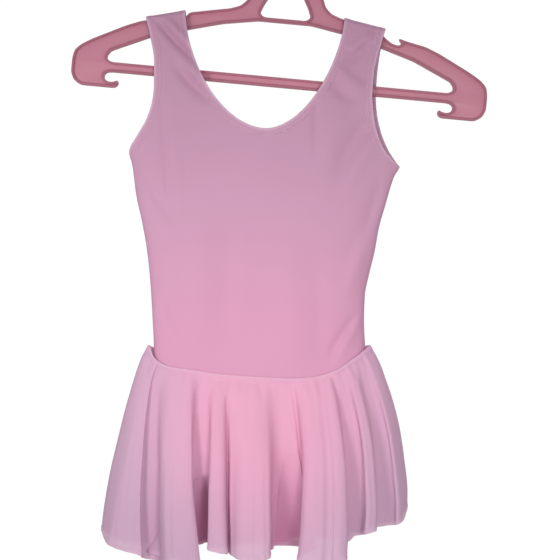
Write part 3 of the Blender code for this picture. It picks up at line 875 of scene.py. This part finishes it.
def skirtPlace(panel, share, down):
    # Where on the half width the place lies, before the folds lean over, and how far it stands out
    share = np.clip(share, -1, 1)
    knots = [-1] + [row[1] for row in panel["folds"]] + [1]
    atWaist = [-1] + [row[0] for row in panel["folds"]] + [1]
    placed = share + (1 - down) * (smooth(knots, atWaist, share) - share)
    left = fromTable(skirtSides, "left", down)
    right = fromTable(skirtSides, "right", down)
    edge = np.clip((1 - np.abs(placed)) / 0.08, 0, 1)
    folded = foldDepth(panel["folds"], share, down) * edge
    across = (right - left) / 2 + (right + left) / 2 * placed
    return placed, across, folded, edge


def skirtPoint(panel, share, down):
    placed, across, folded, edge = skirtPlace(panel, share, down)
    _, acrossBefore, foldedBefore, _ = skirtPlace(panel, share - 0.002, down)
    _, acrossAfter, foldedAfter, _ = skirtPlace(panel, share + 0.002, down)
    slope = (foldedAfter - foldedBefore) / np.maximum(acrossAfter - acrossBefore, 1e-6)
    across = across - skirt["overhang"] * folded * slope
    base = fromTable(skirtSides, panel["side"], down) - dress["seam"] / 2
    hemDrop = fromTable(panel["hem"], "drop", share)
    top = dress["waist"] - dress["skirtLap"] + panel["sag"] * waistShare(placed)
    level = top + (hemDrop - top) * down
    below = (hemDrop - top) * down
    # Uneven gathers just under the seam
    gather = np.sin(share * 61 + 1.3) * 0.5 + np.sin(share * 97 + panel["turn"]) * 0.5
    gather = skirt["gather"] * gather * np.exp(-(below / skirt["gatherDrop"] - 1) ** 2) * edge
    small = foldDepth(panel["smallFolds"], share, down) * edge
    depth = base * roundness(placed, 4.0 - 1.2 * down) + folded + small + gather
    # Deep valleys lie on the brief
    under = level - panel["sag"] * waistShare(placed) * (1 - down)
    under = np.clip(under, dress["waist"], dress["crotch"])
    cut = fromTable(legOpening, "halfWidth", under) * dress["hipHalf"]
    _, briefDepth = bodyPlace(across, under, panel["side"])
    beside = softStep(cut + skirt["pastLeg"], cut - 2, np.abs(across))
    above = softStep(dress["crotch"] + 4, dress["crotch"] - dress["crotchRoll"], level)
    covered = beside * above
    least = (briefDepth + skirt["offBrief"]) * covered * edge
    over = depth - least
    depth = least + (over + np.sqrt(over ** 2 + skirt["landing"] * edge ** 2)) / 2
    depth = dress["seam"] / 2 + depth
    return np.stack([dress["centre"] + across, panel["turn"] * depth, -level], axis=-1)


def skirtColumns(panel):
    fine = np.linspace(-math.pi / 2, math.pi / 2, 2401)
    share = np.sin(fine)
    hem = skirtPoint(panel, share, np.ones_like(share))
    path = np.concatenate([[0], np.linalg.norm(np.diff(hem[:, :2], axis=0), axis=1)])
    even = np.gradient(share)
    weight = path / path.sum() + 0.9 * even / even.sum() + 0.4 / len(fine)
    reached = np.cumsum(weight)
    wanted = np.linspace(reached[0], reached[-1], skirt["columns"] + 1)
    shares = np.sin(np.interp(wanted, reached, fine))
    shares[0], shares[-1] = -1, 1
    return shares


def skirtPanel(panel):
    shares = skirtColumns(panel)
    nearTop = np.array(skirt["topSteps"]) / skirt["length"]
    nearHem = 1 - np.array(skirt["hemSteps"]) / skirt["length"]
    middle = np.linspace(nearTop[-1], nearHem[0], skirt["rows"])[1:-1]
    downs = np.concatenate([nearTop, middle, nearHem])
    share, down = np.meshgrid(shares, downs)
    points = skirtPoint(panel, share.ravel(), down.ravel())
    index = np.arange(share.size).reshape(share.shape)
    seam = np.zeros(share.shape, bool)
    seam[:, 0] = True
    seam[:, -1] = True
    grid = points.reshape(*share.shape, 3)
    runDown = np.linalg.norm(np.diff(grid, axis=0, prepend=grid[:1]), axis=-1).cumsum(axis=0)
    runAcross = np.linalg.norm(np.diff(grid, axis=1, prepend=grid[:, :1]), axis=-1).cumsum(axis=1)
    toHem = runDown[-1] - runDown
    hemRidge = 1 - softStep(skirt["hemBand"] - 1, skirt["hemBand"] + 0.6, toHem)
    thick = skirt["cloth"] + skirt["hemTurn"] * hemRidge
    uneven = 0.7 + 0.3 * np.sin(share * 9 + 1) * np.sin(share * 23 + 2)
    seamRidge = 1 - softStep(skirt["waistBand"] - 2.8, skirt["waistBand"], runDown)
    thick = thick + skirt["waistTurn"] * uneven * seamRidge
    flat = np.stack([runAcross.ravel(), -runDown.ravel()], axis=-1)
    # Mask for the pale highlight painted along the hem and the waist seam
    edge = np.exp(-(toHem / 1.2) ** 2) + np.exp(-(runDown / 2.0) ** 2)
    name = "skirt" + panel["side"].title()
    faces = gridFaces(index, panel["turn"] > 0)
    return clothWall(name, points, faces, seam.ravel(), thick.ravel(), flat, edge.ravel())


def skirtStitchRows(panel):
    rows = []
    share = np.sin(np.linspace(-math.pi / 2, math.pi / 2, 1400))[4:-4]
    for below, lift in skirt["stitchRows"]:
        down = np.full_like(share, below / skirt["length"])
        point, normal = surfaceAt(skirtPoint, panel, share, down, 0.0015, 0.003)
        rows.append((point + normal * lift, normal))
    return rows


for panel in panels:
    piece = skirtPanel(panel)
    piece.data.materials.append(sheer)
    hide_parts("skirt_" + panel["side"])
    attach(piece, "root")
    threads = stitchPiece(piece.name + "Stitches", skirtStitchRows(panel), stitch)
    threads.data.materials.append(sewingThread)
    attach(threads, "root")
    print(piece.name, len(piece.data.polygons), "faces,", len(threads.data.polygons), "thread faces")


# The moulded hanger, drawn along its bar and up from the bar's middle, then leaned and lowered

hanger = {
    "lean": math.radians(5.3),
    "depth": 7.0,
    "web": 3.2,
    "rim": 2.2,
    "round": 0.45,
    "leastGap": 0.3,
    "webInset": 0.3,
    "webRound": 0.05,
    "hookAboveBar": 170.8,
    "hookInside": 19.0,
    "hookWidth": 8.0,
    "hookDepth": 6.4,
    "hookRound": 1.6,
    "outline": [
        (5.0, 122), (11.0, 112), (22.0, 98), (33.0, 85), (37.0, 75), (42.5, 69.5), (52.0, 66.0),
        (74.0, 61.8), (90.0, 58.6), (94.0, 52.5), (101.5, 47.0), (108.5, 45.4), (111.5, 47.4),
        (107.3, 52.6), (116.0, 50.2), (134.0, 46.6), (148.0, 41.0), (162.0, 34.0), (178.0, 26.0),
        (188.0, 20.0), (194.0, 14.0), (195.5, 6.0), (195.5, -7.0), (192.5, -14.0), (186.0, -18.0),
        (153.5, -18.0), (150.0, -15.0), (150.8, -10.4), (155.0, -13.0), (160.5, -13.0), (164.0, -10.6),
        (164.5, -7.0), (162.5, -4.4), (158.5, -3.5),
    ],
    "window": [
        (158.5, 5.6), (162.5, 7.6), (163.5, 11.0), (160.0, 16.3), (123.5, 32.7), (87.0, 43.6),
        (57.7, 51.5), (25.0, 57.0),
    ],
    "neckWindow": [(20.0, 60.6), (24.0, 64.0), (21.0, 72.0), (9.0, 94.0), (2.6, 103.0)],
}


def mirroredLoop(points):
    return np.array(points + [(-along, up) for along, up in reversed(points)], float)


def roundedLoop(loop, spacing=1.6, passes=2):
    # Even points along the outline, with its corners eased
    closed = np.vstack([loop, loop[:1]])
    reach = np.concatenate([[0], np.cumsum(np.linalg.norm(np.diff(closed, axis=0), axis=1))])
    count = int(reach[-1] / spacing)
    at = np.linspace(0, reach[-1], count, endpoint=False)
    even = np.stack([np.interp(at, reach, closed[:, k]) for k in range(2)], axis=-1)
    for _ in range(passes):
        even = (np.roll(even, 1, axis=0) + 2 * even + np.roll(even, -1, axis=0)) / 4
    return even


def insetLoop(loop, distance):
    # The loop moved inward or outward, without the places where it would cross itself
    run = np.roll(loop, -1, axis=0) - np.roll(loop, 1, axis=0)
    run /= np.linalg.norm(run, axis=1)[:, None]
    area = np.sum(loop[:, 0] * np.roll(loop[:, 1], -1) - np.roll(loop[:, 0], -1) * loop[:, 1])
    side = np.stack([-run[:, 1], run[:, 0]], axis=-1) * np.sign(area)
    moved = loop + side * distance
    nearest = np.linalg.norm(moved[:, None] - loop[None], axis=2).min(axis=1)
    return moved[nearest > abs(distance) * 0.93]


def curvePlate(name, loops, halfDepth, rounding):
    # Loops of edges, joined and turned into one flat curve with thickness, then into a mesh
    made = []
    for loop in loops:
        gaps = np.linalg.norm(loop - np.roll(loop, 1, axis=0), axis=1)
        loop = loop[gaps > hanger["leastGap"]]
        bpy.ops.object.select_all(action="DESELECT")
        bpy.ops.mesh.primitive_circle_add(vertices=len(loop), fill_type="NOTHING")
        ring = bpy.context.object
        place = np.column_stack([loop * mm, np.zeros(len(loop))])
        ring.data.vertices.foreach_set("co", place.ravel())
        made.append(ring)
    bpy.ops.object.select_all(action="DESELECT")
    for ring in made:
        ring.select_set(True)
    bpy.context.view_layer.objects.active = made[0]
    if len(made) > 1:
        bpy.ops.object.join()
    bpy.ops.object.convert(target="CURVE")
    plate = bpy.context.object
    plate.name = name
    plate.data.dimensions = "2D"
    plate.data.fill_mode = "BOTH"
    plate.data.extrude = (halfDepth - rounding) * mm
    plate.data.bevel_depth = rounding * mm
    plate.data.bevel_resolution = 2
    plate.data.offset = -rounding * mm
    bpy.ops.object.convert(target="MESH")
    return bpy.context.object


def hookLoop():
    middle = hanger["hookAboveBar"] - hanger["hookInside"]
    radius = hanger["hookInside"] + hanger["hookWidth"] / 2
    line = [(0.0, 108.0), (0.0, 118.0), (2.6, 125.0)]
    for degrees in range(-56, 197, 7):
        angle = math.radians(degrees)
        line.append((radius * math.cos(angle), middle + radius * math.sin(angle)))
    line = np.array(line)
    run = np.gradient(line, axis=0)
    run /= np.linalg.norm(run, axis=1)[:, None]
    side = np.stack([-run[:, 1], run[:, 0]], axis=-1)
    width = np.full(len(line), hanger["hookWidth"] / 2)
    width[-1] *= 0.6
    return np.vstack([line + side * width[:, None], (line - side * width[:, None])[::-1]])


outline = roundedLoop(mirroredLoop(hanger["outline"]))
window = roundedLoop(mirroredLoop(hanger["window"]))
neckWindow = roundedLoop(mirroredLoop(hanger["neckWindow"]))
inset = hanger["webInset"]
loops = [insetLoop(outline, inset), insetLoop(window, -inset), insetLoop(neckWindow, -inset)]
web = curvePlate("web", loops, hanger["web"] / 2, hanger["webRound"])
web.data.materials.clear()
web.data.materials.append(plasticFace)
rims = []
for loop, sign in ((outline, 1), (window, -1), (neckWindow, -1)):
    rims.append(curvePlate("rim", [loop, insetLoop(loop, sign * hanger["rim"])], hanger["depth"] / 2,
                           hanger["round"]))
hook = curvePlate("hook", [roundedLoop(hookLoop(), 1.2, 1)], hanger["hookDepth"] / 2, hanger["hookRound"])
rims.append(hook)
# Rims and hook get the darker, painted-shade copy of the plastic
for ring in rims:
    ring.data.materials.clear()
    ring.data.materials.append(plasticRimShaded)
bpy.ops.object.select_all(action="DESELECT")
for part in rims + [web]:
    part.select_set(True)
bpy.context.view_layer.objects.active = web
bpy.ops.object.join()
hangerPiece = bpy.context.object
hangerPiece.name = "hangerMoulded"
bpy.ops.object.mode_set(mode="EDIT")
bpy.ops.mesh.select_all(action="SELECT")
bpy.ops.mesh.remove_doubles(threshold=0.00001)
bpy.ops.mesh.normals_make_consistent(inside=False)
bpy.ops.object.mode_set(mode="OBJECT")
hung = hanger["hookAboveBar"] * mm
hangerPiece.rotation_euler = (math.pi / 2, 0, 0)
bpy.ops.object.transform_apply(location=False, rotation=True, scale=False)
hangerPiece.rotation_euler = (0, hanger["lean"], 0)
hangerPiece.location = (-hung * math.sin(hanger["lean"]), 0, -hung * math.cos(hanger["lean"]))
bpy.ops.object.transform_apply(location=True, rotation=True, scale=True)
bpy.ops.object.shade_smooth_by_angle(angle=math.radians(40))
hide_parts("hanger")
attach(hangerPiece, "root")
print(hangerPiece.name, len(hangerPiece.data.polygons), "faces")


# Floor, light and camera

floorMaterial = plasticMaterial("paleFloor", {"base": "f2f1f1", "second": "f4f3f3", "roughness": 0.9})
bpy.ops.object.select_all(action="DESELECT")
bpy.ops.mesh.primitive_plane_add(size=4.0, location=(0, 0, -1.5))
floor = bpy.context.object
floor.name = "floor"
floor.data.materials.append(floorMaterial)

bpy.ops.object.select_all(action="DESELECT")
bpy.ops.mesh.primitive_plane_add(size=5.0, location=(0, 3.0, 0.5), rotation=(math.pi / 2, 0, 0))
backdrop = bpy.context.object
backdrop.name = "backdrop"
glow = bpy.data.materials.new("paleBackdrop")
glow.use_nodes = True
lit = glow.node_tree.nodes["Principled BSDF"]
lit.inputs["Base Color"].default_value = (0, 0, 0, 1)
lit.inputs["Emission Color"].default_value = (1, 1, 1, 1)
lit.inputs["Emission Strength"].default_value = 1.0
backdrop.data.materials.append(glow)

world = bpy.data.worlds.new("studio")
bpy.context.scene.world = world
world.use_nodes = True
background = world.node_tree.nodes["Background"]
background.inputs["Color"].default_value = (0.98, 1.0, 1.0, 1.0)
background.inputs["Strength"].default_value = 0.44

lampTint = (1.0, 0.99, 1.0)
lamps = [
    {
        "name": "keyLeft", "place": (-0.62, -0.74, -0.32), "aim": (-0.03, 0, -0.42),
        "size": 0.25, "power": 0.62, "spread": 70,
    },
    {
        "name": "front", "place": (0.26, -1.0, -0.46), "aim": (-0.02, 0, -0.46),
        "size": 0.34, "power": 0.61, "spread": 60,
    },
    {
        "name": "rear", "place": (0.40, 0.95, 0.55), "aim": (-0.03, 0.02, -0.38),
        "size": 0.50, "power": 2.4, "spread": 90,
    },
]
for lamp in lamps:
    light = bpy.data.lights.new(lamp["name"], "AREA")
    light.shape = "DISK"
    light.size = lamp["size"]
    light.energy = lamp["power"]
    light.spread = math.radians(lamp["spread"])
    light.color = lampTint
    shown = bpy.data.objects.new(lamp["name"], light)
    bpy.context.scene.collection.objects.link(shown)
    shown.location = lamp["place"]
    toward = np.array(lamp["aim"]) - np.array(lamp["place"])
    toward = toward / np.linalg.norm(toward)
    yaw = math.atan2(toward[0], -toward[1])
    pitch = math.acos(-toward[2])
    shown.rotation_euler = (pitch, 0, math.pi + yaw)

view = {
    "place": (-0.015, -1.35, -0.3544),
    "width": 0.5264,
}
camera = bpy.data.cameras.new("view")
camera.sensor_width = 36
camera.lens = camera.sensor_width * -view["place"][1] / view["width"]
viewer = bpy.data.objects.new("view", camera)
viewer.location = view["place"]
viewer.rotation_euler = (math.pi / 2, 0, 0)
bpy.context.scene.collection.objects.link(viewer)
bpy.context.scene.camera = viewer
bpy.context.scene.view_settings.view_transform = "Standard"
